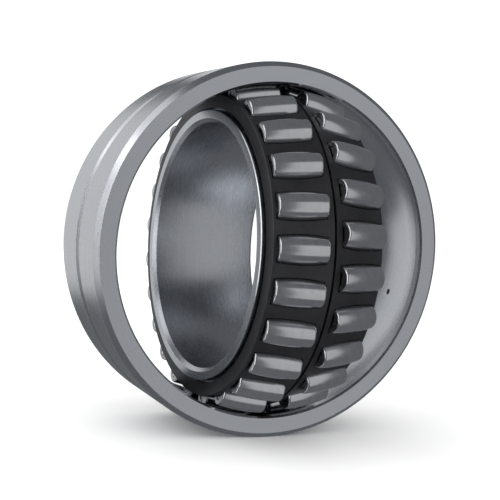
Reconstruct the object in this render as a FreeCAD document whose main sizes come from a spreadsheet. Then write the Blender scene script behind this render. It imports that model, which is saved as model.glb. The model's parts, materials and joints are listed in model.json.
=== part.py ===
"""Double-row spherical roller bearing, 120 x 180 x 60 mm, with its inner group swivelled out.

Row frame: origin at the bearing's centre, +Z up, the outer ring's axis along Y with its front
face at -Y.  Every piece is modelled about its own Y axis and then placed.  The inner group
(inner ring, guide ring, cages and rollers) is turned about Z, away from the aligned position.
"""
import FreeCAD, Part
import math
import os

import Sketcher
from FreeCAD import Placement, Rotation, Vector

DIMENSIONS = {
    # boundary dimensions and rings
    "bore_d": 120.0,
    "outer_d": 180.0,
    "width": 60.0,
    "outer_chamfer": 2.4,
    "bore_chamfer": 1.8,
    "raceway_radius": 83.5,         # the outer ring's sphere, centred on the bearing's centre
    "outer_land_d": 159.0,          # plain mouth of the outer ring, each side of the sphere
    "mouth_chamfer": 0.9,
    "shoulder_d": 132.0,            # inner ring outside, beside each face
    "shoulder_chamfer": 0.4,
    "shoulder_length": 4.2,
    "land_width": 4.8,              # plain centre land between the inner ring's raceways
    # lubrication groove and holes in the outer ring
    "groove_width": 6.0,
    "groove_floor": 3.6,
    "groove_depth": 1.2,
    "hole_d": 3.0,
    "hole_count": 3,
    "hole_angle": 14.4,             # first hole, below the horizontal on the +X side
    # rollers
    "roller_count": 25,             # in each row
    "roller_d": 13.2,
    "roller_length": 23.0,
    "crown_radius": 81.0,           # profile of the barrel
    "roller_edge": 0.9,
    "recess_d": 6.0,
    "recess_depth": 0.4,
    "contact_angle": 11.2,
    "running_gap": 0.12,            # between a roller and either raceway
    # guide ring
    "guide_gap": 0.3,
    "guide_outer_d": 152.4,
    "guide_edge": 0.4,
    # cages, pressed from sheet
    "sheet": 1.5,
    "cage_corner_d": 147.2,         # where the belt's outside meets the flange's outside
    "cage_reach": 28.2,             # flange's outside, from the bearing's centre
    "cage_bore_d": 134.2,
    "cage_gap": 1.2,                # between the two cages
    "pocket_gap": 0.2,              # round each roller in its pocket
    "bend_radius": 0.9,
    "inner_bend": 0.4,
    # placed position of the inner group
    "swivel": 87.0,                 # turned out of line with the outer ring
    "front_phase": 3.5,             # first roller of each row, above the horizontal
    "rear_phase": 9.0,
}

TOLERANCE = 0.01

doc = FreeCAD.newDocument("spherical_roller_bearing")
sheet = doc.addObject("Spreadsheet::Sheet", "Dims")
for row, (alias, number) in enumerate(DIMENSIONS.items(), start=1):
    sheet.set(f"A{row}", alias)
    sheet.set(f"B{row}", str(number))
    sheet.setAlias(f"B{row}", alias)
doc.recompute()

TILT = "(Dims.contact_angle * 1deg)"
# distance from the bearing's centre to a roller's centre, and its two components
PITCH = "(Dims.raceway_radius - Dims.running_gap - Dims.roller_d / 2)"
ROLLER_RADIAL = f"({PITCH} * cos({TILT}))"
ROLLER_AXIAL = f"({PITCH} * sin({TILT}))"
# centre of the inner raceway's arc, out along the same contact line
ARC_REACH = f"({PITCH} - Dims.roller_d / 2 - Dims.running_gap + Dims.raceway_radius)"
HALF_WIDTH = "(Dims.width / 2)"
OUTER_RADIUS = "(Dims.outer_d / 2)"
ARC_X = f"({ARC_REACH} * cos({TILT}))"
ARC_Y = f"({ARC_REACH} * sin({TILT}))"
# profile of a barrel roller
CROWN_CENTRE = "(Dims.roller_d / 2 - Dims.crown_radius)"
HALF_LENGTH = "(Dims.roller_length / 2)"


def value_of(formula):
    """Number that a formula of the sheet's dimensions gives, in millimetres or plain."""
    result = sheet.evalExpression(formula)
    return float(getattr(result, "Value", result))


def origin_feature(body, role):
    """Origin plane or axis of a body, by its role."""
    return next(item for item in body.Origin.OriginFeatures if item.Role == role)


def new_sketch(body, name, plane="XY_Plane"):
    """Empty sketch; on the XY plane, x is the radius and y runs along the axis."""
    sketch = body.newObject("Sketcher::SketchObject", name)
    sketch.AttachmentSupport = [(origin_feature(body, plane), "")]
    sketch.MapMode = "FlatFace"
    return sketch


def bind(sketch, kind, geometry, point, formula):
    """Hold one coordinate, or the radius, of a sketch element at a formula of the sheet."""
    target = (geometry,) if point is None else (geometry, point)
    index = sketch.addConstraint(Sketcher.Constraint(kind, *target, value_of(formula)))
    sketch.setExpression(f"Constraints[{index}]", formula)


def draw_outline(sketch, corners, arcs=None):
    """Closed outline through corners, each a pair of formulas for x and y.

    A corner that an arc's radius already places has a third item, "y": only y is held.
    arcs maps a side's number to the formulas of its centre's x and y and its radius, and to
    True where the arc runs anticlockwise.
    """
    arcs = arcs or {}
    points = [Vector(value_of(corner[0]), value_of(corner[1]), 0) for corner in corners]
    count = len(points)
    for side in range(count):
        start, end = points[side], points[(side + 1) % count]
        if side in arcs:
            centre_x, centre_y, radius, anticlockwise = arcs[side]
            centre = Vector(value_of(centre_x), value_of(centre_y), 0)
            circle = Part.Circle(centre, Vector(0, 0, 1), value_of(radius))
            limits = (start, end) if anticlockwise else (end, start)
            angles = [math.atan2(p.y - centre.y, p.x - centre.x) for p in limits]
            sketch.addGeometry(Part.ArcOfCircle(circle, *angles), False)
        else:
            sketch.addGeometry(Part.LineSegment(start, end), False)

    def ends(side):
        """Numbers of a side's first and last point, along the outline."""
        reversed_arc = side in arcs and not arcs[side][3]
        return (2, 1) if reversed_arc else (1, 2)

    for side in range(count):
        following = (side + 1) % count
        joint = ("Coincident", side, ends(side)[1], following, ends(following)[0])
        sketch.addConstraint(Sketcher.Constraint(*joint))
    for side, (centre_x, centre_y, radius, _) in arcs.items():
        bind(sketch, "DistanceX", side, 3, centre_x)
        bind(sketch, "DistanceY", side, 3, centre_y)
        bind(sketch, "Radius", side, None, radius)
    for side, corner in enumerate(corners):
        if len(corner) == 2:
            bind(sketch, "DistanceX", side, ends(side)[0], corner[0])
        bind(sketch, "DistanceY", side, ends(side)[0], corner[1])


def new_body(label):
    """Empty body for one sub-part."""
    body = doc.addObject("PartDesign::Body", label)
    body.Label = label
    return body


def turned(body, kind, name, corners, arcs=None):
    """Full turn of an outline about the body's Y axis: kind is Revolution or Groove."""
    sketch = new_sketch(body, f"{name}_outline")
    draw_outline(sketch, corners, arcs)
    feature = body.newObject(f"PartDesign::{kind}", name)
    feature.Profile = sketch
    feature.ReferenceAxis = (origin_feature(body, "Y_Axis"), [""])
    feature.Angle = 360.0
    doc.recompute()
    return feature


def circle_edges(feature, radius, axial):
    """Names of a feature's edges that are circles of one radius about Y, at +-axial."""
    names = []
    for number, edge in enumerate(feature.Shape.Edges, start=1):
        curve = edge.Curve
        if not isinstance(curve, Part.Circle) or abs(curve.Radius - radius) > TOLERANCE:
            continue
        if abs(abs(curve.Center.y) - axial) < TOLERANCE:
            names.append(f"Edge{number}")
    return names


def dressed(body, kind, name, base, edges, size):
    """Chamfer or Fillet of a base feature's edges, its size held at a formula of the sheet."""
    if not edges:
        raise RuntimeError(f"{body.Label}: {name} finds no edge")
    feature = body.newObject(f"PartDesign::{kind}", name)
    feature.Base = (base, edges)
    feature.setExpression("Radius" if kind == "Fillet" else "Size", size)
    doc.recompute()
    return feature


def ring_of(body, name, feature, count):
    """Polar pattern of one cut about the body's Y axis; it has to take material away."""
    before = feature.Shape.Volume
    pattern = body.newObject("PartDesign::PolarPattern", name)
    pattern.Originals = [feature]
    pattern.Axis = (origin_feature(body, "Y_Axis"), [""])
    pattern.Angle = 360.0
    pattern.setExpression("Occurrences", count)
    body.Tip = pattern
    doc.recompute()
    if pattern.Shape.Volume >= before:
        raise RuntimeError(f"{body.Label}: {name} cuts nothing")
    return pattern


def make_outer_ring():
    """Outer ring: spherical raceway, plain mouths, oil groove outside and radial oil holes."""
    body = new_body("outer_ring")
    land = "(Dims.outer_land_d / 2)"
    mouth_y = f"sqrt(Dims.raceway_radius ^ 2 - {land} ^ 2)"
    blank = turned(body, "Revolution", "ring", [
        (land, f"-{HALF_WIDTH}"),
        (OUTER_RADIUS, f"-{HALF_WIDTH}"),
        (OUTER_RADIUS, HALF_WIDTH),
        (land, HALF_WIDTH),
        (land, mouth_y, "y"),
        (land, f"-{mouth_y}", "y"),
    ], {4: ("0", "0", "Dims.raceway_radius", False)})
    half_width = value_of(HALF_WIDTH)
    rims = circle_edges(blank, value_of(OUTER_RADIUS), half_width)
    rounded = dressed(body, "Chamfer", "rim_chamfers", blank, rims, "Dims.outer_chamfer")
    mouths = circle_edges(rounded, value_of(land), half_width)
    dressed(body, "Chamfer", "mouth_chamfers", rounded, mouths, "Dims.mouth_chamfer")
    # the groove's walls run on at the same slope to just outside the ring
    floor_radius = f"({OUTER_RADIUS} - Dims.groove_depth)"
    clear_radius = f"({OUTER_RADIUS} + Dims.groove_depth)"
    clear_half = "(Dims.groove_width - Dims.groove_floor / 2)"
    turned(body, "Groove", "oil_groove", [
        (floor_radius, "-Dims.groove_floor / 2"),
        (clear_radius, f"-{clear_half}"),
        (clear_radius, clear_half),
        (floor_radius, "Dims.groove_floor / 2"),
    ])
    sketch = new_sketch(body, "oil_hole_outline", "YZ_Plane")
    sketch.addGeometry(Part.Circle(Vector(0, 0, 0), Vector(0, 0, 1), 1.0), False)
    sketch.addConstraint(Sketcher.Constraint("Coincident", 0, 3, -1, 1))
    bind(sketch, "Diameter", 0, None, "Dims.hole_d")
    hole = body.newObject("PartDesign::Pocket", "oil_hole")
    hole.Profile = sketch
    hole.Reversed = True
    hole.setExpression("Length", "Dims.outer_d")
    doc.recompute()
    ring_of(body, "oil_holes", hole, "Dims.hole_count")
    body.Placement = Placement(Vector(), Rotation(Vector(0, 1, 0), value_of("Dims.hole_angle")))
    return body


def make_inner_ring():
    """Inner ring: plain bore, two concave raceways and a centre land for the guide ring."""
    body = new_body("inner_ring")
    bore = "(Dims.bore_d / 2)"
    shoulder = "(Dims.shoulder_d / 2)"
    shoulder_y = f"({HALF_WIDTH} - Dims.shoulder_length)"
    land_y = "(Dims.land_width / 2)"
    race_end = raceway_at(shoulder_y)
    land = raceway_at(land_y)
    blank = turned(body, "Revolution", "ring", [
        (bore, f"-{HALF_WIDTH}"),
        (shoulder, f"-{HALF_WIDTH}"),
        (shoulder, f"-{shoulder_y}"),
        (race_end, f"-{shoulder_y}", "y"),
        (land, f"-{land_y}", "y"),
        (land, land_y, "y"),
        (race_end, shoulder_y, "y"),
        (shoulder, shoulder_y),
        (shoulder, HALF_WIDTH),
        (bore, HALF_WIDTH),
    ], {
        3: (ARC_X, f"-{ARC_Y}", "Dims.raceway_radius", False),
        5: (ARC_X, ARC_Y, "Dims.raceway_radius", False),
    })
    half_width = value_of(HALF_WIDTH)
    mouths = circle_edges(blank, value_of(bore), half_width)
    chamfered = dressed(body, "Chamfer", "bore_chamfers", blank, mouths, "Dims.bore_chamfer")
    rims = circle_edges(chamfered, value_of(shoulder), half_width)
    dressed(body, "Chamfer", "rim_chamfers", chamfered, rims, "Dims.shoulder_chamfer")
    body.Placement = SWIVEL
    return body


def raceway_at(axial):
    """Formula for the inner raceway's radius at a distance along the axis."""
    return f"({ARC_X} - sqrt(Dims.raceway_radius ^ 2 - ({ARC_Y} - {axial}) ^ 2))"


def make_guide_ring():
    """Floating guide ring: its sides lie along the inboard ends of both rows of rollers."""
    body = new_body("guide_ring")
    inner = f"({raceway_at('(Dims.land_width / 2)')} + Dims.guide_gap)"
    outer = "(Dims.guide_outer_d / 2)"

    def side(radius):
        """Formula for the ring's half width at a radius."""
        reach = f"({HALF_LENGTH} + Dims.guide_gap) / cos({TILT})"
        return f"({ROLLER_AXIAL} + ({radius} - {ROLLER_RADIAL}) * tan({TILT}) - {reach})"

    ring = turned(body, "Revolution", "ring", [
        (inner, f"-{side(inner)}"),
        (outer, f"-{side(outer)}"),
        (outer, side(outer)),
        (inner, side(inner)),
    ])
    rims = circle_edges(ring, value_of(outer), value_of(side(outer)))
    dressed(body, "Chamfer", "rim_chamfers", ring, rims, "Dims.guide_edge")
    body.Placement = SWIVEL
    return body


def make_cage(label, row_placement):
    """Pressed window cage: a coned belt with one pocket for each roller, and a turned-in flange."""
    body = new_body(label)
    corner = "(Dims.cage_corner_d / 2)"
    skin = f"(Dims.sheet / cos({TILT}))"
    inside_y = "(Dims.cage_reach - Dims.sheet)"
    start_y = "(Dims.cage_gap / 2)"

    def belt(axial):
        """Formula for the radius of the belt's outside at a distance along the axis."""
        return f"({corner} + (Dims.cage_reach - {axial}) * tan({TILT}))"

    bend_inside = f"({belt(inside_y)} - {skin})"
    blank = turned(body, "Revolution", "belt_and_flange", [
        (f"({belt(start_y)} - {skin})", start_y),
        (belt(start_y), start_y),
        (corner, "Dims.cage_reach"),
        ("Dims.cage_bore_d / 2", "Dims.cage_reach"),
        ("Dims.cage_bore_d / 2", inside_y),
        (bend_inside, inside_y),
    ])
    bend = circle_edges(blank, value_of(corner), value_of("Dims.cage_reach"))
    bent = dressed(body, "Fillet", "bend", blank, bend, "Dims.bend_radius")
    inner_bend = circle_edges(bent, value_of(bend_inside), value_of(inside_y))
    dressed(body, "Fillet", "inner_bend", bent, inner_bend, "Dims.inner_bend")
    pocket = cut_pocket(body)
    ring_of(body, "pockets", pocket, "Dims.roller_count")
    body.Placement = row_placement
    return body


def cut_pocket(body):
    """One pocket: a barrel a little larger than a roller, turned about the roller's axis."""
    half = f"({HALF_LENGTH} + Dims.pocket_gap)"
    radius = "(Dims.crown_radius + Dims.pocket_gap)"
    end_radius = f"({CROWN_CENTRE} + sqrt({radius} ^ 2 - {half} ^ 2))"

    def point(out, along):
        """Formulas for a point at a distance out from the roller's axis and along it."""
        return (
            f"({ROLLER_RADIAL} + {out} * cos({TILT}) - {along} * sin({TILT}))",
            f"({ROLLER_AXIAL} + {out} * sin({TILT}) + {along} * cos({TILT}))",
        )

    near, far = point("0", f"(-{half})"), point("0", half)
    near_end, far_end = point(end_radius, f"(-{half})"), point(end_radius, half)
    sketch = new_sketch(body, "pocket_outline")
    draw_outline(sketch, [near, (*near_end, "y"), (*far_end, "y"), far], {
        1: (*point(CROWN_CENTRE, "0"), radius, True),
    })
    start, end = (Vector(*map(value_of, corner), 0) for corner in (near, far))
    axis = sketch.addGeometry(Part.LineSegment(start, end), True)
    sketch.addConstraint(Sketcher.Constraint("Coincident", axis, 1, 0, 1))
    sketch.addConstraint(Sketcher.Constraint("Coincident", axis, 2, 3, 1))
    pocket = body.newObject("PartDesign::Groove", "pocket")
    pocket.Profile = sketch
    pocket.ReferenceAxis = (sketch, ["Axis0"])
    pocket.Angle = 360.0
    doc.recompute()
    return pocket


def make_roller(label, row_placement):
    """Barrel roller with rounded ends and a shallow recess in each end face."""
    body = new_body(label)
    end_radius = f"({CROWN_CENTRE} + sqrt(Dims.crown_radius ^ 2 - {HALF_LENGTH} ^ 2))"
    recess = "(Dims.recess_d / 2)"
    floor_y = f"({HALF_LENGTH} - Dims.recess_depth)"
    barrel = turned(body, "Revolution", "barrel", [
        ("0", f"-{floor_y}"),
        (recess, f"-{floor_y}"),
        (f"({recess} + Dims.recess_depth)", f"-{HALF_LENGTH}"),
        (end_radius, f"-{HALF_LENGTH}", "y"),
        (end_radius, HALF_LENGTH, "y"),
        (f"({recess} + Dims.recess_depth)", HALF_LENGTH),
        (recess, floor_y),
        ("0", floor_y),
    ], {3: (CROWN_CENTRE, "0", "Dims.crown_radius", True)})
    ends = circle_edges(barrel, value_of(end_radius), value_of(HALF_LENGTH))
    dressed(body, "Fillet", "end_edges", barrel, ends, "Dims.roller_edge")
    centre = Vector(value_of(ROLLER_RADIAL), value_of(ROLLER_AXIAL), 0)
    lean = Rotation(Vector(0, 0, 1), value_of("Dims.contact_angle"))
    body.Placement = row_placement * Placement(centre, lean)
    return body


def row_at(phase, front):
    """Placement of a row turned by phase degrees; the front row is the rear one turned over."""
    spin = Placement(Vector(), Rotation(Vector(0, -1, 0), phase))
    turned_over = Placement(Vector(), Rotation(Vector(1, 0, 0), 180.0 if front else 0.0))
    return SWIVEL * spin * turned_over


SWIVEL = Placement(Vector(), Rotation(Vector(0, 0, -1), value_of("Dims.swivel")))

parts = [make_outer_ring(), make_inner_ring(), make_guide_ring()]
roller_count = round(value_of("Dims.roller_count"))
for row_name in ("front", "rear"):
    phase = value_of(f"Dims.{row_name}_phase")
    in_front = row_name == "front"
    parts.append(make_cage(f"{row_name}_cage", row_at(phase, in_front)))
    for number in range(roller_count):
        angle = phase + 360.0 * number / roller_count
        label = f"{row_name}_roller_{number + 1:02d}"
        parts.append(make_roller(label, row_at(angle, in_front)))
doc.recompute()

for item in doc.Objects:
    if {"Invalid", "Error"} & set(item.State):
        raise RuntimeError(f"{item.Label} failed: {item.State}")
for part in parts:
    shape = part.Shape
    if shape.isNull() or not shape.isValid() or len(shape.Solids) != 1:
        raise RuntimeError(f"{part.Label} isn't one valid solid")

os.makedirs("parts", exist_ok=True)
for part in parts:
    part.Shape.exportStep(f"parts/{part.Label}.step")
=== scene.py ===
"""Looks of the double-row spherical roller bearing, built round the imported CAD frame.

Each piece is drawn about its own local Z axis, in metres, and placed by the record's joints and
mounts, so it lies exactly where its CAD node lies.
"""

import json
import math

import bpy
from mathutils import Matrix, Vector


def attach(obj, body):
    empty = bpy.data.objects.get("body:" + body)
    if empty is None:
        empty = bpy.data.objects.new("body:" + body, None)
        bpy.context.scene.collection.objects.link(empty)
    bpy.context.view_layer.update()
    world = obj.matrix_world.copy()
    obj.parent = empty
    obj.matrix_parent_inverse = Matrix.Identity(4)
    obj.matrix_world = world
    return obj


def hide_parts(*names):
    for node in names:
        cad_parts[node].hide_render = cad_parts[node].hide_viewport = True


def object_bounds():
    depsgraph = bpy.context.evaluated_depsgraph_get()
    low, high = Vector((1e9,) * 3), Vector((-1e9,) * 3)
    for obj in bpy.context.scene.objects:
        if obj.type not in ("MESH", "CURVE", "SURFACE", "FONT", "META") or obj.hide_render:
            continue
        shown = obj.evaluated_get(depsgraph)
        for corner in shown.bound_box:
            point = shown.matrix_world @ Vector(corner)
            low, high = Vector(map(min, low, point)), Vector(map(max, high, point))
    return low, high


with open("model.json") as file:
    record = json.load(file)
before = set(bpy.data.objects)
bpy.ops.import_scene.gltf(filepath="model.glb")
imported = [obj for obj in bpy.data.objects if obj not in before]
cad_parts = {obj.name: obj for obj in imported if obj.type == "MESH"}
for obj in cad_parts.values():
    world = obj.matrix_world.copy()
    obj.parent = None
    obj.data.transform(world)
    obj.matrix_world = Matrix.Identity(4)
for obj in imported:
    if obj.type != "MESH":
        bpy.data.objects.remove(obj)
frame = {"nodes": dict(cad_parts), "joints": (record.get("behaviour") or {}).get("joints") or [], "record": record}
cad_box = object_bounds()

MM = 0.001
JOINTS = {joint["name"]: joint for joint in frame["joints"]}
MOUNTS = {mount["name"]: mount for mount in frame["record"]["mounts"]}
OUTER_AXIS = Vector(MOUNTS["housing_seat"]["axis"])
INNER_AXIS = Vector(JOINTS["inner_spin"]["axis"])
CENTRE = Vector((0, 0, 0))
UP = Vector((0, 0, 1))

# sizes that the frame's boxes don't give
RACEWAY = 83.5 * MM             # radius of both rings' raceway arcs
RUNNING_GAP = 0.12 * MM
OUTER_LAND = 79.5 * MM
OUTER_CHAMFER = 2.4 * MM
MOUTH_CHAMFER = 0.9 * MM
GROOVE_HALF = 3.0 * MM
GROOVE_FLOOR_HALF = 1.8 * MM
GROOVE_DEPTH = 1.2 * MM
HOLE_RADIUS = 1.5 * MM
HOLE_COUNT = 3
HOLE_ANGLE = math.radians(14.4)
BORE_CHAMFER = 1.8 * MM
SHOULDER = 66.0 * MM
SHOULDER_CHAMFER = 0.4 * MM
SHOULDER_LENGTH = 4.2 * MM
LAND_HALF = 2.4 * MM
CROWN = 81.0 * MM               # profile radius of a barrel roller
ROLLER_EDGE = 0.9 * MM
RECESS = 3.0 * MM
RECESS_DEPTH = 0.4 * MM
GUIDE_GAP = 0.3 * MM
GUIDE_EDGE = 0.4 * MM
SHEET = 1.5 * MM
BEND = 0.9 * MM
INNER_BEND = 0.4 * MM
CAGE_CORNER = 73.6 * MM
POCKET_GAP = 0.2 * MM
POCKET_EDGE = 0.25 * MM
EDGE = 0.15 * MM                # rounding of a ground edge

RING_STEPS = 360
ROLLER_STEPS = 64
ARC_STEPS = 40                  # points along a raceway's section
SHARP_ANGLE = math.radians(40)  # edges sharper than this aren't smoothed
CARD_DISTANCE = 1.2             # from the bearing's centre to each lamp, metres
FLOOR_HALF = 6.0                # half the floor's side, metres


# ---- shapes ----

def reach(node, origin, axis):
    """Least and greatest radius, and lowest and highest place along an axis, of a CAD node."""
    points = [vertex.co - origin for vertex in frame["nodes"][node].data.vertices]
    along = [point.dot(axis) for point in points]
    radii = [(point - axis * place).length for point, place in zip(points, along)]
    return min(radii), max(radii), min(along), max(along)


def turned(vector, angle):
    """A 2-D vector turned anticlockwise."""
    cosine, sine = math.cos(angle), math.sin(angle)
    return Vector((vector.x * cosine - vector.y * sine, vector.x * sine + vector.y * cosine))


def rounded(corners, steps=4):
    """Closed outline through (radius, height, corner radius) with its corners rounded."""
    outline = []
    count = len(corners)
    for index, (radius, height, size) in enumerate(corners):
        here = Vector((radius, height))
        if size == 0:
            outline.append(here)
            continue
        before = Vector(corners[index - 1][:2])
        after = Vector(corners[(index + 1) % count][:2])
        coming, going = (here - before).normalized(), (after - here).normalized()
        turn = math.atan2(coming.cross(going), coming.dot(going))
        outward = Vector((coming.y, -coming.x)) * math.copysign(size, turn)
        middle = here - coming * size * abs(math.tan(turn / 2)) - outward
        outline += [middle + turned(outward, turn * step / steps) for step in range(steps + 1)]
    return outline


def spaced(start, end, count):
    """Evenly spaced numbers from start to end, both included."""
    return [start + (end - start) * index / (count - 1) for index in range(count)]


def make_mesh(name, points, faces, material):
    """Smooth mesh whose edges over SHARP_ANGLE stay sharp."""
    mesh = bpy.data.meshes.new(name)
    mesh.from_pydata(points, [], faces)
    mesh.shade_smooth()
    mesh.set_sharp_from_angle(angle=SHARP_ANGLE)
    mesh.materials.append(material)
    return mesh


def lathe(name, outline, steps, material):
    """Mesh of a closed outline turned about Z; points on the axis become poles."""
    points, rings = [], []
    for point in outline:
        ring_steps = steps if point.x > 0 else 1
        first = len(points)
        for step in range(ring_steps):
            angle = 2 * math.pi * step / steps
            points.append((point.x * math.cos(angle), point.x * math.sin(angle), point.y))
        rings.append([first + step % ring_steps for step in range(steps + 1)])
    faces = []
    for lower, upper in zip(rings, rings[1:] + rings[:1]):
        for step in range(steps):
            loop = (lower[step], lower[step + 1], upper[step + 1], upper[step])
            corners = list(dict.fromkeys(loop))
            if len(corners) > 2:
                faces.append(corners)
    return make_mesh(name, points, faces, material)


def add_piece(name, mesh, origin, axis, toward):
    """Copy of a mesh with its Z along axis and its X turned towards a direction.

    The copy lies in the row frame; own_place keeps its own coordinates for the materials.
    """
    mesh = mesh.copy()
    own_place = mesh.attributes.new("own_place", "FLOAT_VECTOR", "POINT")
    for vertex, value in zip(mesh.vertices, own_place.data):
        value.vector = vertex.co
    side = (toward - axis * toward.dot(axis)).normalized()
    rotation = Matrix((side, axis.cross(side), axis)).transposed()
    mesh.transform(Matrix.Translation(origin) @ rotation.to_4x4())
    piece = bpy.data.objects.new(name, mesh)
    bpy.context.scene.collection.objects.link(piece)
    return piece


def stand_for(piece, node):
    """The piece is shown instead of a CAD node, and moves with that node's body."""
    normals = piece.modifiers.new("flat_faces_rule", "WEIGHTED_NORMAL")
    normals.keep_sharp = True
    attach(piece, node)
    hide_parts(node)


# ---- roller geometry, shared by rollers, cages and rings ----

FIRST = JOINTS["rear_roller_01_spin"]
ROLLER_CENTRE, ROLLER_AXIS = Vector(FIRST["pos_m"]), Vector(FIRST["axis"])
_, ROLLER_RADIUS, _, ROLLER_HALF = reach("rear_roller_01", ROLLER_CENTRE, ROLLER_AXIS)
TILT = ROLLER_AXIS.angle(INNER_AXIS)
AXIAL = ROLLER_CENTRE.dot(INNER_AXIS)
RADIAL = (ROLLER_CENTRE - INNER_AXIS * AXIAL).length
ROLLER_COUNT = sum(name.startswith("rear_roller_") for name in frame["nodes"])
PITCH = 2 * math.pi / ROLLER_COUNT
_, _, _, HALF_WIDTH = reach("inner_ring", CENTRE, INNER_AXIS)


def barrel_radius(along, growth=0.0):
    """Radius of a roller, grown by a gap, at a distance along its axis from its middle."""
    return ROLLER_RADIUS - CROWN + math.sqrt((CROWN + growth) ** 2 - along ** 2)


def raceway_at(height):
    """Radius of the inner ring's raceway at a height over the ring's middle."""
    reach_out = ROLLER_CENTRE.length - ROLLER_RADIUS - RUNNING_GAP + RACEWAY
    across, up = reach_out * math.cos(TILT), reach_out * math.sin(TILT)
    return across - math.sqrt(RACEWAY ** 2 - (up - height) ** 2)


# ---- pieces ----

def make_outer_ring(material):
    """Outer ring with its spherical raceway, oil groove and drilled oil holes."""
    _, outside, _, half = reach("outer_ring", CENTRE, OUTER_AXIS)
    mouth = math.sqrt(RACEWAY ** 2 - OUTER_LAND ** 2)
    heights = spaced(mouth, -mouth, ARC_STEPS)
    raceway = [(math.sqrt(RACEWAY ** 2 - z ** 2), z, 0) for z in heights[1:-1]]
    floor = outside - GROOVE_DEPTH
    outline = rounded([
        (OUTER_LAND + MOUTH_CHAMFER, -half, EDGE),
        (outside - OUTER_CHAMFER, -half, EDGE),
        (outside, OUTER_CHAMFER - half, EDGE),
        (outside, -GROOVE_HALF, EDGE),
        (floor, -GROOVE_FLOOR_HALF, EDGE),
        (floor, GROOVE_FLOOR_HALF, EDGE),
        (outside, GROOVE_HALF, EDGE),
        (outside, half - OUTER_CHAMFER, EDGE),
        (outside - OUTER_CHAMFER, half, EDGE),
        (OUTER_LAND + MOUTH_CHAMFER, half, EDGE),
        (OUTER_LAND, half - MOUTH_CHAMFER, EDGE),
        (OUTER_LAND, mouth, EDGE),
        *raceway,
        (OUTER_LAND, -mouth, EDGE),
        (OUTER_LAND, MOUTH_CHAMFER - half, EDGE),
    ])
    mesh = drilled(lathe("outer_ring_steel", outline, RING_STEPS, material), outside)
    down = Matrix.Rotation(HOLE_ANGLE, 3, OUTER_AXIS) @ Vector((1, 0, 0))
    ring = add_piece("outer_ring_steel", mesh, CENTRE, OUTER_AXIS, down)
    stand_for(ring, "outer_ring")


def drilled(mesh, outside):
    """The outer ring's mesh with its oil holes cut, evenly spaced from its X axis."""
    middle = (RACEWAY + outside) / 2
    half = middle / 2
    profile = [Vector((0, -half)), Vector((HOLE_RADIUS, -half)),
               Vector((HOLE_RADIUS, half)), Vector((0, half))]
    drill = lathe("drill", profile, ROLLER_STEPS, mesh.materials[0])
    ring = add_piece("undrilled", mesh, CENTRE, UP, Vector((1, 0, 0)))
    tools = [ring]
    for number in range(HOLE_COUNT):
        angle = 2 * math.pi * number / HOLE_COUNT
        outward = Vector((math.cos(angle), math.sin(angle), 0))
        tool = add_piece("drill", drill, outward * middle, outward, UP)
        cut = ring.modifiers.new("oil_hole", "BOOLEAN")
        cut.operation, cut.solver, cut.object = "DIFFERENCE", "EXACT", tool
        tools.append(tool)
    depsgraph = bpy.context.evaluated_depsgraph_get()
    result = bpy.data.meshes.new_from_object(ring.evaluated_get(depsgraph))
    result.attributes.remove(result.attributes["own_place"])
    result.shade_smooth()
    result.set_sharp_from_angle(angle=SHARP_ANGLE)
    for tool in tools:
        bpy.data.objects.remove(tool)
    return result


def make_inner_ring(material):
    """Inner ring: bore, chamfers, two raceways and the land between them."""
    bore = MOUNTS["shaft_bore"]["dims"]["r_mm"] * MM
    half, end = HALF_WIDTH, HALF_WIDTH - SHOULDER_LENGTH
    heights = spaced(-end, -LAND_HALF, ARC_STEPS)
    lower = [(raceway_at(-z), z, 0) for z in heights]
    upper = [(radius, -z, 0) for radius, z, _ in reversed(lower)]
    corner = 2 * EDGE
    for race in (lower, upper):
        race[0] = (*race[0][:2], corner)
        race[-1] = (*race[-1][:2], corner)
    outline = rounded([
        (bore + BORE_CHAMFER, -half, EDGE),
        (SHOULDER - SHOULDER_CHAMFER, -half, EDGE),
        (SHOULDER, SHOULDER_CHAMFER - half, EDGE),
        (SHOULDER, -end, EDGE),
        *lower,
        *upper,
        (SHOULDER, end, EDGE),
        (SHOULDER, half - SHOULDER_CHAMFER, EDGE),
        (SHOULDER - SHOULDER_CHAMFER, half, EDGE),
        (bore + BORE_CHAMFER, half, EDGE),
        (bore, half - BORE_CHAMFER, EDGE),
        (bore, BORE_CHAMFER - half, EDGE),
    ])
    mesh = lathe("inner_ring_steel", outline, RING_STEPS, material)
    ring = add_piece("inner_ring_steel", mesh, CENTRE, INNER_AXIS, UP)
    stand_for(ring, "inner_ring")


def make_guide_ring(material):
    """Guide ring, whose sides lie along the inboard ends of both rows of rollers."""
    inside, outside, _, _ = reach("guide_ring", CENTRE, INNER_AXIS)
    side = (ROLLER_HALF + GUIDE_GAP) / math.cos(TILT)
    halves = [AXIAL + (r - RADIAL) * math.tan(TILT) - side for r in (inside, outside)]
    outline = rounded([
        (inside, -halves[0], GUIDE_EDGE),
        (outside, -halves[1], GUIDE_EDGE),
        (outside, halves[1], GUIDE_EDGE),
        (inside, halves[0], GUIDE_EDGE),
    ])
    mesh = lathe("guide_ring_iron", outline, RING_STEPS, material)
    ring = add_piece("guide_ring_iron", mesh, CENTRE, INNER_AXIS, UP)
    stand_for(ring, "guide_ring")


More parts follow.
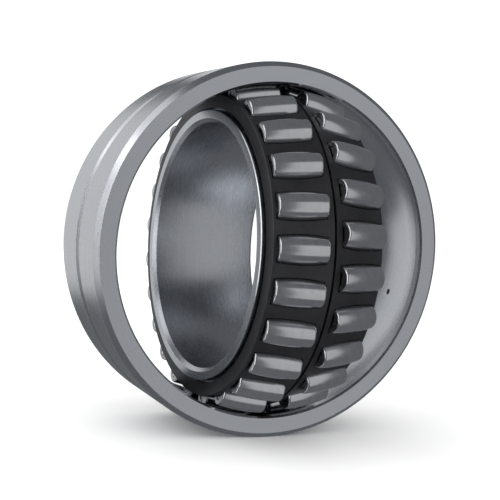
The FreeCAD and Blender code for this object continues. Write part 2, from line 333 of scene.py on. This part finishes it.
def roller_mesh(material):
    """Barrel roller with rounded ends and a shallow recess in each end."""
    floor = ROLLER_HALF - RECESS_DEPTH
    crown = [(barrel_radius(z), z, 0) for z in spaced(-ROLLER_HALF, ROLLER_HALF, 21)]
    crown[0] = (*crown[0][:2], ROLLER_EDGE)
    crown[-1] = (*crown[-1][:2], ROLLER_EDGE)
    outline = rounded([
        (0, -floor, 0),
        (RECESS, -floor, EDGE),
        (RECESS + RECESS_DEPTH, -ROLLER_HALF, EDGE),
        *crown,
        (RECESS + RECESS_DEPTH, ROLLER_HALF, EDGE),
        (RECESS, floor, EDGE),
        (0, floor, 0),
    ], steps=6)
    return lathe("roller_steel", outline, ROLLER_STEPS, material)


def pocket_edge(radius, height):
    """Half angle that a pocket takes up round the belt, at a point of the belt's section."""
    angle = 0.0
    for _ in range(4):
        across = radius * math.cos(angle) - RADIAL
        off = across * math.cos(TILT) + (height - AXIAL) * math.sin(TILT)
        along = (height - AXIAL) * math.cos(TILT) - across * math.sin(TILT)
        half = math.sqrt(barrel_radius(along, POCKET_GAP) ** 2 - off ** 2)
        angle = math.asin(half / radius)
    return angle


def cage_mesh(name, material):
    """Pressed window cage: a coned belt with a pocket for each roller, and a flange."""
    bore, _, start, end = reach("rear_cage", CENTRE, INNER_AXIS)
    slope, cosine, sine = math.tan(TILT), math.cos(TILT), math.sin(TILT)
    skin = SHEET / cosine

    def belt(height):
        return CAGE_CORNER + (end - height) * slope

    # the pocket's ends, where they cut the outside of the belt
    off = (belt(AXIAL) - RADIAL) * cosine
    pocket_half = ROLLER_HALF + POCKET_GAP
    first = AXIAL - pocket_half * cosine + off * sine
    last = AXIAL + pocket_half * cosine + off * sine
    rows = spaced(first, last, 9)
    outside = [(belt(start), start, 0), *((belt(z), z, 0) for z in rows)]
    outside += [(CAGE_CORNER, end, BEND), (bore, end, 0)]
    inside = [(belt(start) - skin, start, 0)]
    inside += [(belt(z) - SHEET * cosine, z - SHEET * sine, 0) for z in rows]
    inside += [(belt(end - SHEET) - skin, end - SHEET, INNER_BEND), (bore, end - SHEET, 0)]
    section = rounded(outside + inside[::-1], steps=6)
    depth = len(section) // 2
    skins = (section[:depth], section[:depth - 1:-1])

    bar, window = 2, 6              # columns in half a bar and across a pocket
    columns = 2 * bar + window
    points = []
    for side in skins:
        edges = [pocket_edge(*point) for point in side[1:len(rows) + 1]]
        for row, point in enumerate(side):
            edge = edges[min(max(row - 1, 0), len(rows) - 1)]
            angles = spaced(-PITCH / 2, -edge, bar + 1)[:-1]
            angles += spaced(-edge, edge, window + 1)
            angles += spaced(edge, PITCH / 2, bar + 1)[1:-1]
            for pocket in range(ROLLER_COUNT):
                for angle in angles:
                    turn = angle + pocket * PITCH
                    points.append((point.x * math.cos(turn), point.x * math.sin(turn), point.y))
    around = columns * ROLLER_COUNT

    def vertex(side, row, column):
        return (side * depth + row) * around + column % around

    def is_open(row, column):
        in_window = bar <= column % columns < bar + window
        return 1 <= row < len(rows) and in_window

    faces = []
    for column in range(around):
        after = column + 1
        for row in range(depth - 1):
            if is_open(row, column):
                continue
            for side, step in ((0, 1), (1, -1)):
                loop = [vertex(side, row, column), vertex(side, row, after),
                        vertex(side, row + 1, after), vertex(side, row + 1, column)]
                faces.append(loop[::step])
            for near, far, step in ((column, column - 1, -1), (after, after, 1)):
                if is_open(row, far):
                    loop = [vertex(0, row, near), vertex(1, row, near),
                            vertex(1, row + 1, near), vertex(0, row + 1, near)]
                    faces.append(loop[::step])
        walls = [(0, 1), (depth - 1, -1)]
        if is_open(1, column):
            walls += [(1, -1), (len(rows), 1)]
        for row, step in walls:
            loop = [vertex(1, row, column), vertex(1, row, after),
                    vertex(0, row, after), vertex(0, row, column)]
            faces.append(loop[::step])
    return make_mesh(name, points, faces, material)


def add_rows(roller_material, cage_material):
    """Both rows of rollers, and the cage that holds each."""
    barrel = roller_mesh(roller_material)
    pressing = cage_mesh("cage_sheet", cage_material)
    for row, axis in (("front", -INNER_AXIS), ("rear", INNER_AXIS)):
        toward = Vector(JOINTS[f"{row}_roller_01_spin"]["pos_m"])
        cage = add_piece(f"{row}_cage_sheet", pressing, CENTRE, axis, toward)
        bevel = cage.modifiers.new("pocket_edges", "BEVEL")
        bevel.width, bevel.segments = POCKET_EDGE, 2
        bevel.limit_method, bevel.angle_limit = "ANGLE", SHARP_ANGLE
        stand_for(cage, f"{row}_cage")
        for number in range(1, ROLLER_COUNT + 1):
            node = f"{row}_roller_{number:02d}"
            joint = JOINTS[f"{node}_spin"]
            place, along = Vector(joint["pos_m"]), Vector(joint["axis"])
            roller = add_piece(f"{node}_steel", barrel, place, along, place)
            stand_for(roller, node)


# ---- materials ----

def new_material(name, colour, metallic, roughness):
    """Material with a Principled shader; returns the material, its nodes, links and shader."""
    material = bpy.data.materials.new(name)
    material.use_nodes = True
    nodes, links = material.node_tree.nodes, material.node_tree.links
    shader = nodes["Principled BSDF"]
    shader.inputs["Base Color"].default_value = (*colour, 1)
    shader.inputs["Metallic"].default_value = metallic
    shader.inputs["Roughness"].default_value = roughness
    return material, nodes, links, shader


def maths(nodes, links, operation, *values):
    """Math node whose inputs are numbers or sockets; returns its output."""
    node = nodes.new("ShaderNodeMath")
    node.operation = operation
    for socket, value in zip(node.inputs, values):
        if isinstance(value, bpy.types.NodeSocket):
            links.new(value, socket)
        else:
            socket.default_value = value
    return node.outputs[0]


def mapped(nodes, links, value, low, high, source=(0.0, 1.0)):
    """A value mapped from a source range to low..high."""
    node = nodes.new("ShaderNodeMapRange")
    links.new(value, node.inputs["Value"])
    node.inputs["From Min"].default_value, node.inputs["From Max"].default_value = source
    node.inputs["To Min"].default_value, node.inputs["To Max"].default_value = low, high
    return node.outputs["Result"]


def noise(nodes, links, vector, scale, detail=2.0, roughness=0.5):
    """Noise texture over a vector; returns its value."""
    node = nodes.new("ShaderNodeTexNoise")
    node.inputs["Scale"].default_value = scale
    node.inputs["Detail"].default_value = detail
    node.inputs["Roughness"].default_value = roughness
    links.new(vector, node.inputs["Vector"])
    return node.outputs["Fac"]


def own_place(nodes):
    """The piece's own coordinates, which add_piece keeps."""
    node = nodes.new("ShaderNodeAttribute")
    node.attribute_name = "own_place"
    return node.outputs["Vector"]


def about_axis(nodes, links, lengthwise):
    """Coordinates for marks left by turning about the piece's own Z axis.

    X and Y are the radius and the height, in metres; Z is the angle, times lengthwise, so a
    texture over them is drawn out round the piece.
    """
    place = own_place(nodes)
    parts = nodes.new("ShaderNodeSeparateXYZ")
    links.new(place, parts.inputs[0])
    x, y, z = parts.outputs
    squares = [maths(nodes, links, "MULTIPLY", side, side) for side in (x, y)]
    radius = maths(nodes, links, "SQRT", maths(nodes, links, "ADD", *squares))
    angle = maths(nodes, links, "ARCTAN2", y, x)
    together = nodes.new("ShaderNodeCombineXYZ")
    links.new(radius, together.inputs[0])
    links.new(z, together.inputs[1])
    links.new(maths(nodes, links, "MULTIPLY", angle, lengthwise), together.inputs[2])
    return place, together.outputs[0]


def mixed(nodes, links, factor, first, second):
    """Colour between two colours."""
    node = nodes.new("ShaderNodeMix")
    node.data_type = "RGBA"
    links.new(factor, node.inputs["Factor"])
    node.inputs["A"].default_value = (*first, 1)
    node.inputs["B"].default_value = (*second, 1)
    return node.outputs["Result"]


def ground_steel(name, dark, light, roughness, mark_depth, mark_scale):
    """Ground bearing steel: fine marks round the axis, faint mottling and a soft sheen."""
    material, nodes, links, shader = new_material(name, light, 1.0, roughness)
    place, round_marks = about_axis(nodes, links, 0.004)
    marks = noise(nodes, links, round_marks, mark_scale, 3.0, 0.7)
    broad = noise(nodes, links, round_marks, mark_scale / 8, 2.0)
    cloud = noise(nodes, links, place, 55.0, 3.0)
    tone = maths(nodes, links, "MULTIPLY_ADD", marks, 0.45, maths(
        nodes, links, "MULTIPLY_ADD", broad, 0.35, maths(nodes, links, "MULTIPLY", cloud, 0.2)))
    links.new(mixed(nodes, links, mapped(nodes, links, tone, 0, 1, (0.36, 0.64)), dark, light),
              shader.inputs["Base Color"])
    links.new(mapped(nodes, links, tone, roughness * 0.85, roughness * 1.15, (0.36, 0.64)),
              shader.inputs["Roughness"])
    bump = nodes.new("ShaderNodeBump")
    bump.inputs["Strength"].default_value = 1.0
    bump.inputs["Distance"].default_value = mark_depth
    links.new(marks, bump.inputs["Height"])
    links.new(bump.outputs["Normal"], shader.inputs["Normal"])
    return material


def pressed_sheet(name, dark, light, roughness):
    """Phosphated steel sheet: charcoal, fine-grained, a little lighter where it rubs."""
    material, nodes, links, shader = new_material(name, light, 0.75, roughness)
    place = own_place(nodes)
    grain = noise(nodes, links, place, 2600.0, 2.0, 0.6)
    cloud = noise(nodes, links, place, 90.0, 4.0, 0.6)
    tone = maths(nodes, links, "MULTIPLY_ADD", grain, 0.5, maths(
        nodes, links, "MULTIPLY", cloud, 0.5))
    links.new(mixed(nodes, links, mapped(nodes, links, tone, 0, 1, (0.35, 0.65)), dark, light),
              shader.inputs["Base Color"])
    links.new(mapped(nodes, links, cloud, roughness * 0.85, roughness * 1.2, (0.3, 0.7)),
              shader.inputs["Roughness"])
    bump = nodes.new("ShaderNodeBump")
    bump.inputs["Strength"].default_value = 0.6
    bump.inputs["Distance"].default_value = 0.02 * MM
    links.new(grain, bump.inputs["Height"])
    links.new(bump.outputs["Normal"], shader.inputs["Normal"])
    return material


# ---- studio ----

def add_card(name, azimuth, elevation, width, height, brightness):
    """Soft rectangular lamp that faces the bearing; the camera doesn't see it.

    The azimuth is 0 in front of the bearing and 90 on its right; sizes are in metres.
    """
    around, above = math.radians(azimuth), math.radians(elevation)
    outward = Vector((math.sin(around) * math.cos(above), -math.cos(around) * math.cos(above),
                      math.sin(above)))
    light = bpy.data.lights.new(name, "AREA")
    light.shape, light.size, light.size_y = "RECTANGLE", width, height
    light.energy = brightness * math.pi * width * height
    lamp = bpy.data.objects.new(name, light)
    bpy.context.scene.collection.objects.link(lamp)
    lamp.location = CENTRE + outward * CARD_DISTANCE
    lamp.rotation_mode = "QUATERNION"
    lamp.rotation_quaternion = (-outward).to_track_quat("-Z", "Y")
    lamp.visible_camera = False


def add_floor():
    """Pale floor under the bearing."""
    lowest = cad_box[0].z
    corners = [(x * FLOOR_HALF, y * FLOOR_HALF, lowest)
               for x, y in ((-1, -1), (1, -1), (1, 1), (-1, 1))]
    material = new_material("pale_floor", (0.93, 0.93, 0.93), 0.0, 0.9)[0]
    mesh = make_mesh("floor", corners, [(0, 1, 2, 3)], material)
    floor = bpy.data.objects.new("floor", mesh)
    bpy.context.scene.collection.objects.link(floor)
    floor.visible_glossy = False


def add_world():
    """White surroundings; whatever is polished reflects a grey studio instead."""
    world = bpy.data.worlds.new("studio")
    bpy.context.scene.world = world
    world.use_nodes = True
    nodes, links = world.node_tree.nodes, world.node_tree.links
    backdrop = nodes["Background"]
    backdrop.inputs["Color"].default_value = (1, 1, 1, 1)
    backdrop.inputs["Strength"].default_value = 1.25
    room = nodes.new("ShaderNodeBackground")
    room.inputs["Color"].default_value = (0.16, 0.165, 0.175, 1)
    reflected = nodes.new("ShaderNodeLightPath").outputs["Is Glossy Ray"]
    choice = nodes.new("ShaderNodeMixShader")
    links.new(reflected, choice.inputs["Fac"])
    links.new(backdrop.outputs[0], choice.inputs[1])
    links.new(room.outputs[0], choice.inputs[2])
    links.new(choice.outputs[0], nodes["World Output"].inputs["Surface"])


def add_camera():
    """Camera at the photograph's angle."""
    azimuth, elevation, roll = (math.radians(a) for a in (-24.112, 3.395, 4.1275))
    distance, lens = 519.1 * MM, 74.32
    back = Vector((math.sin(azimuth) * math.cos(elevation),
                   -math.cos(azimuth) * math.cos(elevation), math.sin(elevation)))
    right = Vector((math.cos(azimuth), math.sin(azimuth), 0))
    up = back.cross(right)
    across = right * math.cos(roll) + up * math.sin(roll)
    upward = up * math.cos(roll) - right * math.sin(roll)
    data = bpy.data.cameras.new("camera")
    data.lens, data.sensor_width = lens, 36.0
    data.shift_x, data.shift_y = -0.0067, -0.0063
    data.clip_start, data.clip_end = 0.01, 50
    camera = bpy.data.objects.new("camera", data)
    bpy.context.scene.collection.objects.link(camera)
    rotation = Matrix((across, upward, back)).transposed()
    camera.matrix_world = Matrix.Translation(back * distance) @ rotation.to_4x4()
    bpy.context.scene.camera = camera


ring_steel = ground_steel("ring_steel", (0.50, 0.515, 0.545), (0.56, 0.58, 0.61), 0.27,
                          0.002 * MM, 2200.0)
roller_steel = ground_steel("roller_steel", (0.58, 0.58, 0.59), (0.68, 0.68, 0.69), 0.20,
                            0.001 * MM, 3000.0)
guide_iron = ground_steel("guide_iron", (0.10, 0.10, 0.11), (0.18, 0.18, 0.19), 0.40,
                          0.006 * MM, 1500.0)
cage_steel = pressed_sheet("cage_steel", (0.03, 0.03, 0.032), (0.055, 0.055, 0.058), 0.38)

make_outer_ring(ring_steel)
make_inner_ring(ring_steel)
make_guide_ring(guide_iron)
add_rows(roller_steel, cage_steel)

add_floor()
add_world()
add_card("front_right", 25, 0, 0.9, 1.7, 0.42)
add_card("left", 298, 10, 0.4, 1.5, 2.6)
add_card("overhead_left", 270, 48, 0.9, 0.8, 1.0)
add_card("behind_left", 240, -8, 0.7, 1.6, 1.1)
add_card("behind", 198, 8, 0.8, 1.0, 0.6)
add_card("behind_right", 155, 10, 0.5, 0.7, 0.9)
add_camera()
bpy.context.scene.view_settings.view_transform = "Standard"
